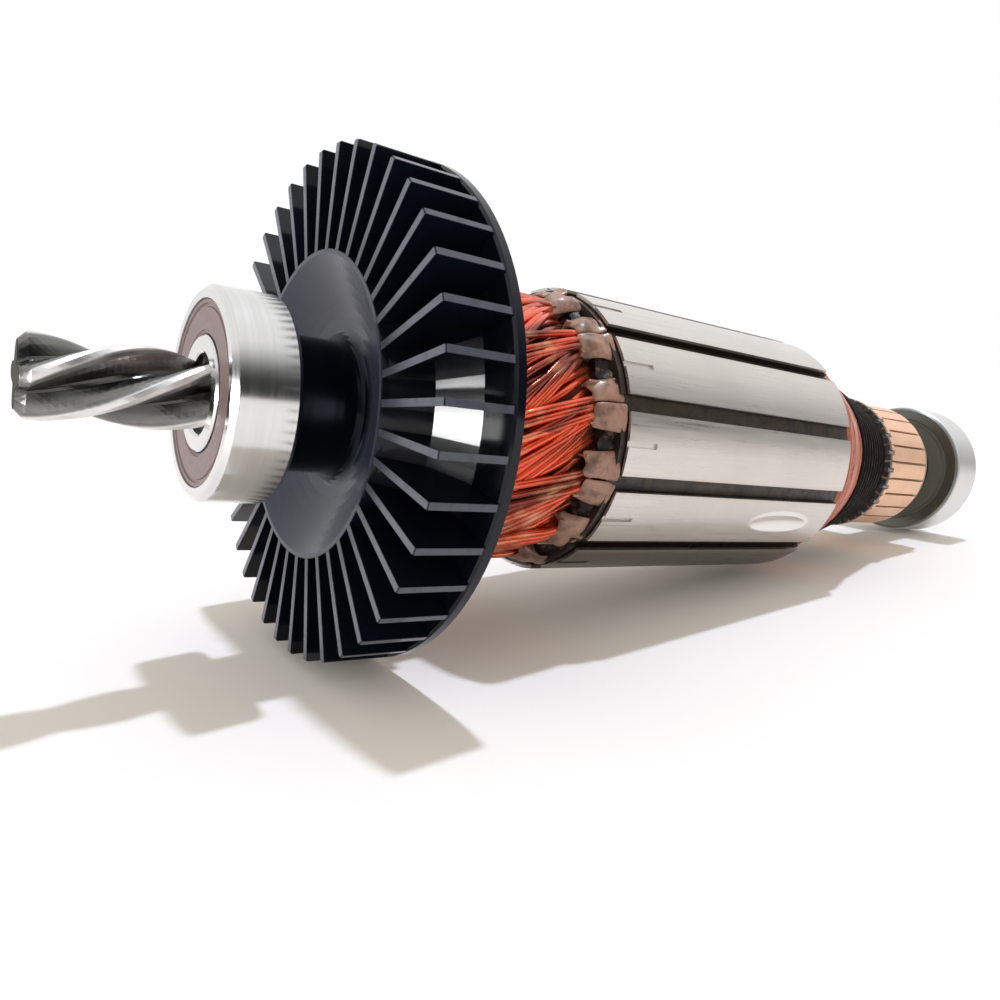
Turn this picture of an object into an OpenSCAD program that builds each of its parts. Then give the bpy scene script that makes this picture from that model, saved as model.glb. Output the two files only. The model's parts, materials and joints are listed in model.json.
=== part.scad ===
// Armature of a power tool motor: one shaft that carries a helical pinion, a radial fan,
// a wound core and a commutator between two sealed ball bearings.
// It lies as it comes to rest, on the fan's rear rim and the rear edge of the rear bearing.
// Lengths along the shaft are counted from the fan's front face, towards the commutator.

/* [Shaft] */
// Diameter of the shaft inside the front bearing
front_journal_d = 12; // [11:0.5:13]
// Diameter of the shaft under the fan and the core
core_seat_d = 13; // [12.5:0.5:14]
// Diameter of the shaft under the commutator
commutator_seat_d = 12; // [11:0.5:12.5]
// Diameter of the shaft inside the rear bearing
rear_journal_d = 10; // [9:0.5:10.5]
// Length of the shaft's stub behind the rear bearing
tail_length = 2.4; // [1.5:0.1:6]
// Chamfer on the ends and steps of the shaft
shaft_chamfer = 0.5; // [0.2:0.1:0.8]

/* [Pinion] */
// Length of the pinion in front of the bearing
pinion_length = 23.4; // [15:0.2:32]
// Diameter over the pinion's teeth
pinion_d = 11.8; // [10.4:0.1:11.8]
// Diameter at the bottom of the pinion's flutes
pinion_root_d = 5.8; // [5:0.1:8.4]
// Number of pinion teeth
pinion_teeth = 4; // [3:1:7]
// Length over which a tooth winds once around
pinion_lead = 61; // [40:1:120]
// Length of the chamfer on the pinion's tip
pinion_tip_chamfer = 1.3; // [0.4:0.1:2]

/* [Fan] */
// Diameter over the fan's blades
fan_d = 81; // [76:0.5:92]
// Depth of the fan from the blades' front edges to the back of its plate
fan_depth = 12.4; // [10.5:0.1:16]
// Number of fan blades
blade_count = 39; // [20:1:45]
// Thickness of a blade
blade_t = 1.05; // [0.7:0.05:1.4]
// Thickness of the fan's back plate
fan_plate_t = 1.7; // [1.2:0.1:2.4]
// Diameter of the dished hub's rim, where the blades start
dish_d = 48.8; // [44:0.2:52]
// Depth of the dish in the hub
dish_depth = 4.9; // [3:0.1:6]
// Wall of the dished hub
dish_wall = 1.8; // [1.4:0.1:2.2]
// Diameter of the neck between the hub and the front bearing
neck_d = 21.4; // [19.5:0.2:23]
// Length of the neck in front of the blades
neck_length = 7.3; // [5:0.1:11]
// Length of the boss behind the fan's plate
fan_boss_length = 4; // [2:0.5:6]
// Angle of the first blade
blade_clock = 0.9; // [0:0.1:9]

/* [Bearings] */
// Outer diameter of the front bearing
front_bearing_d = 32; // [31.5:0.1:34]
// Width of the front bearing
front_bearing_w = 10; // [9.6:0.1:12]
// Diameter of a ball in the front bearing
front_ball_d = 5.95; // [5.5:0.05:6.1]
// Number of balls in the front bearing
front_ball_count = 7; // [5:1:8]
// Outer diameter of the rear bearing
rear_bearing_d = 35; // [34.4:0.1:36.4]
// Width of the rear bearing
rear_bearing_w = 11; // [10.6:0.1:12.6]
// Diameter of a ball in the rear bearing
rear_ball_d = 6.35; // [5.9:0.05:6.5]
// Number of balls in the rear bearing
rear_ball_count = 7; // [5:1:8]
// Gap between a ball and each race
race_gap = 0.02; // [0.01:0.01:0.04]
// Gap between a seal's lip and the inner ring
seal_gap = 0.1; // [0.05:0.01:0.2]
// Thickness of a seal
seal_t = 0.7; // [0.5:0.05:0.8]
// Depth of a seal below the bearing's face
seal_recess = 0.25; // [0.1:0.05:0.4]
// Chamfer on the outer edges of a bearing
bearing_chamfer = 0.8; // [0.3:0.1:0.9]

/* [Core] */
// Diameter of the lamination stack
stack_d = 53.4; // [50:0.1:56]
// Length of the lamination stack
stack_length = 65.6; // [40:0.5:90]
// Free length between the fan's plate and the stack
core_gap = 32.9; // [30:0.1:40]
// Number of slots
slot_count = 12; // [9:1:13]
// Width of a slot's mouth
slot_mouth = 3; // [2:0.1:3.6]
// Thickness of the tooth tips beside a slot's mouth
tooth_tip_t = 1.7; // [1.2:0.1:2.2]
// Width of a tooth
tooth_w = 5; // [4.4:0.1:5.6]
// Radius at which the round bottom of a slot is centred
slot_bottom_r = 14.5; // [14:0.1:16]
// Length of the nick at the front of each tooth
nick_length = 6.8; // [3:0.1:10]
// Width of a nick
nick_w = 1; // [0.6:0.1:1.4]
// Depth of a nick
nick_depth = 0.4; // [0.2:0.1:0.6]
// Angle of the first slot
slot_clock = 16; // [0:1:29]

/* [Balance cut] */
// Distance of the balance cut from the stack's front face
balance_cut_pos = 49.3; // [12:0.1:52]
// Depth of the balance cut
balance_cut_depth = 0.85; // [0.3:0.05:1.1]
// Radius of the wheel that makes the balance cut
balance_wheel_r = 50; // [20:1:60]
// Radius of the wheel's rounded rim
balance_wheel_rim_r = 3.4; // [2.5:0.1:3.6]

/* [Insulation] */
// Thickness of the insulating disc on each end of the stack
end_disc_t = 1.2; // [0.8:0.1:2]
// Distance of the insulating discs' edge from the stack's edge
end_disc_inset = 0.9; // [0.4:0.1:1.4]
// Thickness of a slot liner
liner_t = 0.4; // [0.3:0.05:0.5]
// Length of the liners' cuffs in front of the stack
front_cuff = 6.6; // [3:0.1:9]
// Length of the liners' cuffs behind the stack
rear_cuff = 3.2; // [2:0.1:5]
// Thickness of a slot wedge
wedge_t = 1; // [0.7:0.1:1.2]
// Length by which a wedge stands out of each end of the stack
wedge_overhang = 1.6; // [0.5:0.1:2.5]
// Wall of the insulating tube between the shaft and the stack
tube_wall = 1.6; // [1.2:0.1:1.9]
// Clearance between the slot and what lies in it
slot_clearance = 0.05; // [0.02:0.01:0.1]

/* [Winding] */
// Length of the winding's front end beyond the stack
front_overhang = 23.6; // [20:0.1:26]
// Diameter of the winding's front end
front_overhang_d = 49.6; // [48.4:0.2:50.4]
// Length of the bare ring of winding behind the stack
rear_overhang = 15.2; // [10:0.1:18]
// Diameter of the winding's rear end at the stack
rear_overhang_d = 49; // [46:0.2:50]
// Height of a coil bundle above the body of the winding
bundle_rise = 1.6; // [0.8:0.1:2]
// Angle by which a bundle leans round the shaft
bundle_sweep = 66; // [40:1:80]

/* [Binding] */
// Diameter of the cord that binds the leads
cord_d = 2.4; // [1.6:0.1:2.8]
// Diameter over the cord at the winding
binding_front_d = 41; // [39:0.2:42]
// Diameter over the cord at the commutator
binding_rear_d = 32.4; // [31:0.2:33]

/* [Commutator] */
// Diameter of the commutator's track
commutator_d = 32; // [30:0.2:33]
// Free length between the stack and the commutator
commutator_gap = 34.4; // [33.5:0.1:40]
// Length of the commutator bars
bar_length = 19.3; // [14:0.1:28]
// Radial height of a commutator bar
bar_height = 4.6; // [3.8:0.1:5]
// Width of the slot between two bars
bar_gap = 0.6; // [0.4:0.05:0.9]
// Depth of the slot between two bars
undercut = 0.8; // [0.4:0.1:1.2]
// Height of the riser on each bar
riser_height = 0.9; // [0.5:0.1:1.4]
// Width of the riser along the shaft
riser_w = 2; // [1.4:0.1:3]
// Length of the moulded collar behind the bars
collar_length = 3.4; // [2:0.1:5]
// Height by which the bars stand over the moulded collar
collar_step = 1.2; // [0.6:0.1:2]
// Length of bare shaft between the collar and the rear bearing
tail_gap = 11; // [6:0.1:20]
// Diameter of a lead wire
lead_d = 1.1; // [0.7:0.1:1.3]
// Angle of the first gap between bars
bar_clock = 9; // [0:1:14]

/* [Hidden] */
$fn = 96;
// Overlap of solids that are joined into one piece
join = 0.05;

// Stations along the shaft
fan_plate_front = fan_depth - fan_plate_t;
fan_rear = fan_depth + fan_boss_length;
front_bearing_rear = -neck_length;
front_bearing_mid = front_bearing_rear - front_bearing_w / 2;
front_bearing_front = front_bearing_rear - front_bearing_w;
pinion_tip = front_bearing_front - pinion_length;
// The flutes run on a little way into the front bearing's bore
flute_runout = 1.5;
journal_front = front_bearing_front + flute_runout;
stack_front = fan_depth + core_gap;
stack_rear = stack_front + stack_length;
commutator_front = stack_rear + commutator_gap;
bars_rear = commutator_front + bar_length;
collar_rear = bars_rear + collar_length;
rear_bearing_front = collar_rear + tail_gap;
rear_bearing_mid = rear_bearing_front + rear_bearing_w / 2;
rear_bearing_rear = rear_bearing_front + rear_bearing_w;
shaft_rear = rear_bearing_rear + tail_length;
binding_front = stack_rear + rear_overhang;
binding_rear = commutator_front - 0.6;

// Radii
fan_r = fan_d / 2;
dish_r = dish_d / 2;
neck_r = neck_d / 2;
// The fan's flow surface is a steep cone from the dish's rim to a knee, and a flat one to the plate
flow_knee_r = dish_r + 2.6;
flow_knee = fan_plate_front - 3.7;
flow_foot_r = dish_r + 9.1;
stack_r = stack_d / 2;
core_seat_r = core_seat_d / 2;
tube_r = core_seat_r + tube_wall;
slot_top_r = stack_r - tooth_tip_t;
slot_pitch = 360 / slot_count;
bar_count = 2 * slot_count;
bar_pitch = 360 / bar_count;
commutator_r = commutator_d / 2;
bar_foot_r = commutator_r - bar_height;

// Tilt at which the fan's rear rim and the first of the core and the rear bearing touch the floor
tilt_on_core = atan((fan_r - stack_r) / (stack_rear - fan_depth));
tilt_on_bearing = atan((fan_r - rear_bearing_d / 2)
    / (rear_bearing_rear - bearing_chamfer - fan_depth));
rest_tilt = min(tilt_on_core, tilt_on_bearing);

// Half the width of a slot at a radius, between teeth of even width
function slot_half(r) = r * tan(slot_pitch / 2) - tooth_w / 2 / cos(slot_pitch / 2);
// A point of an arc
function arc_point(c, r, a) = [c[0] + r * cos(a), c[1] + r * sin(a)];
// Points along an arc
function arc(c, r, a0, a1, n) = [for (i = [0:n]) arc_point(c, r, a0 + (a1 - a0) * i / n)];

// Turns a piece built up the Z axis into its place on the resting armature
module lay() {
    rotate([0, rest_tilt, 0])
        rotate([90, 0, 90])
            translate([0, 0, -front_bearing_mid])
                children();
}

// Copies a piece evenly around the shaft
module around(count, first = 0) {
    for (i = [0:count - 1])
        rotate([0, 0, first + i * 360 / count])
            children();
}

// A turned step between two stations, with chamfered ends where asked
module step(from, to, r, front_chamfer = 0, rear_chamfer = 0) {
    rotate_extrude()
        polygon([
            [0, from],
            [r - front_chamfer, from],
            [r, from + front_chamfer],
            [r, to - rear_chamfer],
            [r - rear_chamfer, to],
            [0, to]
        ]);
}

// ---- Shaft and pinion ----

// Radius of the pinion's outline: narrow rounded crests and wide round flutes
function pinion_radius(a) =
    let (lift = (1 + cos(pinion_teeth * a)) / 2, tooth_h = (pinion_d - pinion_root_d) / 2)
    pinion_root_d / 2 + tooth_h * pow(lift, crest_power);

// Over 1 makes the crests narrower than the flutes
crest_power = 1.1;
// Sides of the pinion's outline
outline_steps = 12 * pinion_teeth;

module pinion_outline() {
    polygon([
        for (i = [0:outline_steps - 1])
            let (a = 360 * i / outline_steps)
            [pinion_radius(a) * cos(a), pinion_radius(a) * sin(a)]
    ]);
}

// Left-hand helical teeth, with a tapered tip
module pinion() {
    toothed = journal_front + join - pinion_tip - pinion_tip_chamfer;
    tip_scale = 1 - 2 * pinion_tip_chamfer / pinion_d;
    translate([0, 0, pinion_tip + pinion_tip_chamfer]) {
        linear_extrude(height = toothed, twist = 360 * toothed / pinion_lead, slices = 26,
                $fn = outline_steps)
            pinion_outline();
        rotate([180, 0, 0])
            linear_extrude(height = pinion_tip_chamfer, scale = tip_scale,
                    twist = 360 * pinion_tip_chamfer / pinion_lead, slices = 2,
                    $fn = outline_steps)
                pinion_outline();
    }
}

module shaft() {
    color("dimgray") lay() union() {
        pinion();
        step(journal_front, front_bearing_rear + join, front_journal_d / 2, shaft_chamfer);
        step(front_bearing_rear, stack_rear + commutator_gap / 2, core_seat_r, 0, shaft_chamfer);
        step(stack_rear + commutator_gap / 2 - join, rear_bearing_front, commutator_seat_d / 2,
            0, shaft_chamfer);
        step(rear_bearing_front - join, shaft_rear, rear_journal_d / 2, 0, shaft_chamfer);
    }
}

// ---- Fan ----

// Wall of the fan's hub: nose, neck, dish, rim, flow surface, back plate and boss
module fan_wall() {
    nose = 0.6;
    nose_r = core_seat_r + 1.6;
    neck_fillet = 2.2;
    lip = 0.7;
    dish_floor_r = neck_r + neck_fillet;
    // hollow at the back, one wall behind the flow surface
    hollow_knee_r = flow_knee_r - 0.5 * dish_wall;
    hollow_knee = flow_knee + 1.14 * dish_wall;
    hollow_foot_r = hollow_knee_r + (fan_depth - hollow_knee)
        * (flow_foot_r - flow_knee_r) / (fan_plate_front - flow_knee);
    boss_r = neck_r;
    rotate_extrude()
        polygon(concat(
            [
                [core_seat_r, front_bearing_rear],
                [nose_r, front_bearing_rear],
                [nose_r, front_bearing_rear + nose],
                [neck_r - 0.5, front_bearing_rear + nose],
                [neck_r, front_bearing_rear + nose + 0.5]
            ],
            arc([dish_floor_r, dish_depth - neck_fillet], neck_fillet, 180, 90, 6),
            // the dish rises to its rim in a shallow hollow curve
            [for (i = [1:6]) let (u = i / 6)
                [dish_floor_r + (dish_r - lip - dish_floor_r) * u, dish_depth * (1 - pow(u, 1.5))]],
            [
                [dish_r, 0],
                [dish_r + 0.3, 1],
                [flow_knee_r, flow_knee],
                [flow_foot_r, fan_plate_front],
                [fan_r - 0.4, fan_plate_front],
                [fan_r, fan_plate_front + 0.4],
                [fan_r, fan_depth],
                [hollow_foot_r, fan_depth],
                [hollow_knee_r, hollow_knee],
                [dish_r - dish_wall, dish_wall + 1],
                [dish_floor_r + (dish_r - dish_floor_r) * 0.5, dish_depth * 0.72 + dish_wall],
                [boss_r + 1, dish_depth + dish_wall],
                [boss_r, dish_depth + dish_wall + 1],
                [boss_r, fan_rear - 0.5],
                [boss_r - 0.5, fan_rear],
                [core_seat_r, fan_rear]
            ]
        ));
}

// One straight radial blade, its root inside the hub's wall
module blade() {
    rotate([90, 0, 0])
        translate([0, 0, -blade_t / 2])
            linear_extrude(height = blade_t)
                polygon([
                    [dish_r - 0.5, 0],
                    [fan_r - 0.3, 0],
                    [fan_r, 0.3],
                    [fan_r, fan_plate_front + join],
                    [flow_foot_r - 1, fan_plate_front + join],
                    [flow_knee_r - 1, flow_knee],
                    [dish_r - 0.5, 2]
                ]);
}

module fan() {
    color([0.05, 0.05, 0.09]) lay() union() {
        fan_wall();
        around(blade_count, blade_clock) blade();
    }
}

// ---- Ball bearings ----

// Share of the gap between the rings that the groove's shoulders fill
shoulder_depth = 0.19;
// Radius of the ball's path
function pitch_r(bore, outer) = (bore + outer) / 4;
// Radius of the race groove, a little wider than the ball
function groove_r(ball) = ball / 2 * 1.03;
// Radius of the inner ring's shoulder
function inner_land(bore, outer, ball) = pitch_r(bore, outer) - ball / 2 * (1 - 2 * shoulder_depth) - 0.5;
// Radius of the outer ring's shoulder
function outer_land(bore, outer, ball) = pitch_r(bore, outer) + ball / 2 * (1 - 2 * shoulder_depth) + 0.5;
// Radius of a seal's rim, in its groove of the outer ring
function seal_rim(bore, outer, ball) = outer_land(bore, outer, ball) + 0.6;

module bearing_inner_ring(bore, outer, w, ball) {
    land = inner_land(bore, outer, ball);
    rotate_extrude() difference() {
        polygon([
            [bore / 2, -w / 2 + 0.4],
            [bore / 2 + 0.4, -w / 2],
            [land - 0.3, -w / 2],
            [land, -w / 2 + 0.3],
            [land, w / 2 - 0.3],
            [land - 0.3, w / 2],
            [bore / 2 + 0.4, w / 2],
            [bore / 2, w / 2 - 0.4]
        ]);
        translate([pitch_r(bore, outer) - ball / 2 - race_gap + groove_r(ball), 0])
            circle(r = groove_r(ball));
    }
}

module bearing_outer_ring(bore, outer, w, ball) {
    land = outer_land(bore, outer, ball);
    rim = seal_rim(bore, outer, ball);
    seat = w / 2 - seal_recess - seal_t;
    rotate_extrude() difference() {
        polygon([
            [land, -seat],
            [rim, -seat],
            [rim, -w / 2],
            [outer / 2 - bearing_chamfer, -w / 2],
            [outer / 2, -w / 2 + bearing_chamfer],
            [outer / 2, w / 2 - bearing_chamfer],
            [outer / 2 - bearing_chamfer, w / 2],
            [rim, w / 2],
            [rim, seat],
            [land, seat]
        ]);
        translate([pitch_r(bore, outer) + ball / 2 + race_gap - groove_r(ball), 0])
            circle(r = groove_r(ball));
    }
}

module bearing_balls(bore, outer, ball, count) {
    around(count)
        translate([pitch_r(bore, outer), 0, 0])
            sphere(d = ball, $fn = 48);
}

// Crown cage: a ring with open ball pockets, closed on the side away from the fan
module bearing_cage(bore, outer, w, ball, count) {
    pocket_gap = 0.08;
    back = w / 2 - seal_recess - seal_t - 0.15;
    front = -ball * 0.3;
    half = ball * 0.2;
    mid = pitch_r(bore, outer);
    difference() {
        rotate_extrude()
            translate([mid - half, front])
                square([2 * half, back - front]);
        around(count)
            translate([mid, 0, 0])
                sphere(r = ball / 2 + pocket_gap, $fn = 48);
    }
}

// Rubber seal with a raised rim and a lip that runs on the inner ring. side is -1 or 1
module bearing_seal(bore, outer, w, ball, side) {
    lip = inner_land(bore, outer, ball) + seal_gap;
    rim = seal_rim(bore, outer, ball);
    face = w / 2 - seal_recess;
    groove = 0.25;
    mirror([0, 0, side < 0 ? 1 : 0])
        rotate_extrude()
            polygon([
                [lip, face - seal_t],
                [rim, face - seal_t],
                [rim, face],
                [rim - 0.7, face],
                [rim - 0.8, face - groove],
                [rim - 1.2, face - groove],
                [rim - 1.3, face - 0.05],
                [lip + 0.6, face - 0.05],
                [lip + 0.5, face - groove],
                [lip, face - groove]
            ]);
}

module at_front_bearing() {
    lay() translate([0, 0, front_bearing_mid]) children();
}

module at_rear_bearing() {
    lay() translate([0, 0, rear_bearing_mid]) children();
}

module front_bearing_inner_ring() {
    color("silver") at_front_bearing()
        bearing_inner_ring(front_journal_d, front_bearing_d, front_bearing_w, front_ball_d);
}

module front_bearing_outer_ring() {
    color("silver") at_front_bearing()
        bearing_outer_ring(front_journal_d, front_bearing_d, front_bearing_w, front_ball_d);
}

module front_bearing_balls() {
    color("gainsboro") at_front_bearing()
        bearing_balls(front_journal_d, front_bearing_d, front_ball_d, front_ball_count);
}

module front_bearing_cage() {
    color("tan") at_front_bearing()
        bearing_cage(front_journal_d, front_bearing_d, front_bearing_w, front_ball_d,
            front_ball_count);
}

module front_bearing_front_seal() {
    color([0.38, 0.29, 0.25]) at_front_bearing()
        bearing_seal(front_journal_d, front_bearing_d, front_bearing_w, front_ball_d, -1);
}

module front_bearing_rear_seal() {
    color([0.38, 0.29, 0.25]) at_front_bearing()
        bearing_seal(front_journal_d, front_bearing_d, front_bearing_w, front_ball_d, 1);
}

module rear_bearing_inner_ring() {
    color("silver") at_rear_bearing()
        bearing_inner_ring(rear_journal_d, rear_bearing_d, rear_bearing_w, rear_ball_d);
}

module rear_bearing_outer_ring() {
    color("silver") at_rear_bearing()
        bearing_outer_ring(rear_journal_d, rear_bearing_d, rear_bearing_w, rear_ball_d);
}

module rear_bearing_balls() {
    color("gainsboro") at_rear_bearing()
        bearing_balls(rear_journal_d, rear_bearing_d, rear_ball_d, rear_ball_count);
}

module rear_bearing_cage() {
    color("tan") at_rear_bearing()
        bearing_cage(rear_journal_d, rear_bearing_d, rear_bearing_w, rear_ball_d,
            rear_ball_count);
}

module rear_bearing_front_seal() {
    color([0.2, 0.23, 0.21]) at_rear_bearing()
        bearing_seal(rear_journal_d, rear_bearing_d, rear_bearing_w, rear_ball_d, -1);
}

module rear_bearing_rear_seal() {
    color([0.2, 0.23, 0.21]) at_rear_bearing()
        bearing_seal(rear_journal_d, rear_bearing_d, rear_bearing_w, rear_ball_d, 1);
}

// ---- Core ----

// Outline of a slot's cavity along +X, shrunk by a clearance, up to a radius
module slot_cavity(inset, top) {
    bottom_half = slot_half(slot_bottom_r) - inset;
    top_half = slot_half(top) - inset;
    polygon([
        [slot_bottom_r, -bottom_half],
        [top, -top_half],
        [top, top_half],
        [slot_bottom_r, bottom_half]
    ]);
    translate([slot_bottom_r, 0])
        circle(r = bottom_half);
}

// Outline of the slotted disc, as the laminations and the end discs have it
module slotted_disc(r) {
    difference() {
        circle(r = r);
        circle(r = tube_r);
        around(slot_count, slot_clock) {
            slot_cavity(0, slot_top_r);
            translate([slot_top_r - join, -slot_mouth / 2])
                square([tooth_tip_t + 1, slot_mouth]);
        }
    }
}

module lamination_stack() {
    cut_angle = slot_clock + 6.5 * slot_pitch;
    color("lightgray") lay() difference() {
        translate([0, 0, stack_front])
            linear_extrude(height = stack_length)
                slotted_disc(stack_r);
        around(slot_count, slot_clock + slot_pitch / 2)
            translate([stack_r - nick_depth, -nick_w / 2, stack_front - 1])
                cube([nick_depth + 1, nick_w, nick_length + 1]);
        rotate([0, 0, cut_angle])
            translate([stack_r + balance_wheel_r - balance_cut_depth, 0,
                    stack_front + balance_cut_pos])
                rotate([90, 0, 0])
                    rotate_extrude()
                        translate([balance_wheel_r - balance_wheel_rim_r, 0])
                            circle(r = balance_wheel_rim_r);
    }
}

module end_disc(from) {
    translate([0, 0, from])
        linear_extrude(height = end_disc_t)
            slotted_disc(stack_r - end_disc_inset);
}

module front_end_disc() {
    color([0.16, 0.1, 0.07]) lay() end_disc(stack_front - end_disc_t);
}

module rear_end_disc() {
    color([0.16, 0.1, 0.07]) lay() end_disc(stack_rear);
}

// Radius of the underside of the wedges
wedge_bottom_r = slot_top_r - slot_clearance - wedge_t;

module slot_liners() {
    color([0.62, 0.42, 0.33]) lay()
        around(slot_count, slot_clock)
            translate([0, 0, stack_front - front_cuff])
                linear_extrude(height = front_cuff + stack_length + rear_cuff)
                    difference() {
                        slot_cavity(slot_clearance, wedge_bottom_r - slot_clearance);
                        slot_cavity(slot_clearance + liner_t, wedge_bottom_r + 1);
                    }
}

module slot_wedges() {
    top = wedge_bottom_r + wedge_t;
    color([0.2, 0.13, 0.08]) lay()
        around(slot_count, slot_clock)
            translate([0, 0, stack_front - wedge_overhang])
                linear_extrude(height = stack_length + 2 * wedge_overhang)
                    polygon([
                        [wedge_bottom_r, slot_clearance - slot_half(wedge_bottom_r)],
                        [top, slot_clearance - slot_half(top)],
                        [top, slot_half(top) - slot_clearance],
                        [wedge_bottom_r, slot_half(wedge_bottom_r) - slot_clearance]
                    ]);
}

module shaft_insulation() {
    color([0.55, 0.12, 0.1]) lay()
        rotate_extrude()
            translate([core_seat_r, fan_rear + 0.5])
                square([tube_wall, stack_rear + rear_overhang - fan_rear - 0.5]);
}

// ---- Winding ----

// Radius of the winding's body under the bundles
body_r = front_overhang_d / 2 - bundle_rise;
winding_front = stack_front - front_overhang;
// Clearance between the winding's bore and the insulating tube
tube_clearance = 0.1;
// Copper in the slots, inside the liners and under the wedges
copper_inset = 2 * slot_clearance + liner_t;
copper_top_r = wedge_bottom_r - 2 * slot_clearance;

// Centre of a coil bundle, from the slot (u = 0) over the shoulder to the face (u = 1)
function bundle_z(u) = winding_front + bundle_rise + 1.6
    + (front_overhang - front_cuff - 3) * pow(max(0, 1 - u / 0.75), 1.25);
function bundle_r(u) = u < 0.5 ? body_r - 1.2 : body_r - 1.2 - 13 * pow((u - 0.5) / 0.5, 1.6);
function bundle_a(u) = bundle_sweep * pow(u, 1.35);
function bundle_at(u) = [
    bundle_r(u) * cos(bundle_a(u)),
    bundle_r(u) * sin(bundle_a(u)),
    bundle_z(u)
];

// One coil bundle as a chain of rounded lumps
module bundle() {
    links = 5;
    lump = 2.7;
    for (i = [0:links - 1])
        hull() {
            translate(bundle_at(i / links)) sphere(r = lump - 0.1 * i, $fn = 10);
            translate(bundle_at((i + 1) / links)) sphere(r = lump - 0.1 * (i + 1), $fn = 10);
        }
}

// Body of the front end under the bundles
module front_end_body() {
    corner = 6;
    rear = stack_front - front_cuff - 0.3;
    rotate_extrude($fn = 48)
        polygon(concat(
            [[core_seat_r, winding_front + 3], [tube_r + 3, winding_front + 1.5]],
            arc([body_r - corner, winding_front + 1.5 + corner], corner, 270, 360, 5),
            [[body_r, rear], [core_seat_r, rear]]
        ));
}

// Rear end: a ring behind the stack, then the cone of leads under the binding
module rear_end_body() {
    front = stack_rear + rear_cuff + 0.3;
    cord_front_r = binding_front_d / 2 - cord_d;
    cord_rear_r = binding_rear_d / 2 - cord_d;
    rotate_extrude($fn = 72)
        polygon([
            [core_seat_r, front],
            [rear_overhang_d / 2 - 0.8, front],
            [rear_overhang_d / 2, front + 0.8],
            [rear_overhang_d / 2 - 0.3, front + 4],
            [rear_overhang_d / 2 - 1.6, binding_front - 3],
            [binding_front_d / 2 - 0.2, binding_front - 0.3],
            [cord_front_r, binding_front - 0.1],
            [cord_rear_r, binding_rear],
            [core_seat_r, binding_rear]
        ]);
}

module winding() {
    color([0.8, 0.36, 0.16]) lay() difference() {
        union() {
            front_end_body();
            around(slot_count, slot_clock) {
                bundle();
                translate([0, 0, stack_front - front_cuff - 1])
                    linear_extrude(height = stack_length + front_cuff + rear_cuff + 2)
                        slot_cavity(copper_inset, copper_top_r, $fn = 24);
            }
            rear_end_body();
        }
        translate([0, 0, fan_depth])
            cylinder(r = tube_r + tube_clearance, h = binding_rear);
    }
}

// Turns of cord wound on the cone of leads
module binding_cord() {
    turns = ceil((binding_rear - binding_front) / (cord_d * 0.92));
    run = binding_rear - binding_front - cord_d;
    front_r = binding_front_d / 2 - cord_d / 2;
    rear_r = binding_rear_d / 2 - cord_d / 2;
    color([0.04, 0.035, 0.03]) lay()
        rotate_extrude() difference() {
            union() {
                for (i = [0:turns - 1])
                    translate([
                        front_r + (rear_r - front_r) * i / (turns - 1),
                        binding_front + cord_d / 2 + run * i / (turns - 1)
                    ])
                        circle(d = cord_d);
                polygon([
                    [front_r - cord_d / 2, binding_front + cord_d / 2],
                    [front_r, binding_front + cord_d / 2],
                    [rear_r, binding_rear - cord_d / 2],
                    [rear_r - cord_d / 2, binding_rear - cord_d / 2]
                ]);
            }
            polygon([
                [0, binding_front - 1],
                [binding_front_d / 2 - cord_d + 0.03, binding_front - 0.1],
                [binding_rear_d / 2 - cord_d + 0.03, binding_rear],
                [0, binding_rear + 1]
            ]);
        }
}

// ---- Commutator ----

// Bars with a dovetail foot, cut apart by the slots
module commutator_bars() {
    foot = bar_foot_r;
    front = commutator_front;
    color([0.93, 0.66, 0.48]) lay() rotate([0, 0, bar_clock]) difference() {
        rotate_extrude()
            polygon([
                [foot + 1.6, front],
                [commutator_r + riser_height, front],
                [commutator_r + riser_height, front + riser_w],
                [commutator_r, front + riser_w + 0.4],
                [commutator_r, bars_rear - 0.3],
                [commutator_r - 0.3, bars_rear],
                [foot + 1.6, bars_rear],
                [foot, bars_rear - 2.5],
                [foot, bars_rear - 5],
                [foot + 1.2, bars_rear - 6.5],
                [foot + 1.2, front + 6.5],
                [foot, front + 5],
                [foot, front + 2.5]
            ]);
        around(bar_count)
            translate([0, -bar_gap / 2, front - 1])
                cube([commutator_r + riser_height + 1, bar_gap, bar_length + 2]);
        // seats of the lead wires in the risers
        around(bar_count, bar_pitch / 2)
            translate([commutator_r + riser_height - lead_d, -lead_d / 2, front - 1])
                cube([lead_d + 1, lead_d, riser_w + 1]);
    }
}

// Moulded body that holds the feet of the bars and fills the slots between them
module commutator_body() {
    foot = bar_foot_r;
    front = commutator_front;
    collar_r = commutator_r - collar_step;
    color([0.28, 0.16, 0.1]) lay() union() {
        rotate_extrude()
            polygon([
                [commutator_seat_d / 2, front - 0.5],
                [foot + 1.2, front - 0.5],
                [foot + 1.6, front],
                [foot, front + 2.5],
                [foot, front + 5],
                [foot + 1.2, front + 6.5],
                [foot + 1.2, bars_rear - 6.5],
                [foot, bars_rear - 5],
                [foot, bars_rear - 2.5],
                [foot + 1.6, bars_rear],
                [collar_r, bars_rear],
                [collar_r, collar_rear - 0.6],
                [collar_r - 0.6, collar_rear],
                [commutator_seat_d / 2, collar_rear]
            ]);
        around(bar_count, bar_clock)
            translate([foot - 1, -bar_gap / 2, front])
                cube([bar_height - undercut + 1, bar_gap, bar_length]);
    }
}

// Wires from under the binding into the risers
module lead_wires() {
    color([0.7, 0.3, 0.14]) lay()
        around(bar_count, bar_clock + bar_pitch / 2)
            translate([commutator_r + riser_height - lead_d / 2, 0, binding_rear + 0.05])
                cylinder(d = lead_d, h = commutator_front + riser_w - 0.2 - binding_rear, $fn = 24);
}

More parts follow.
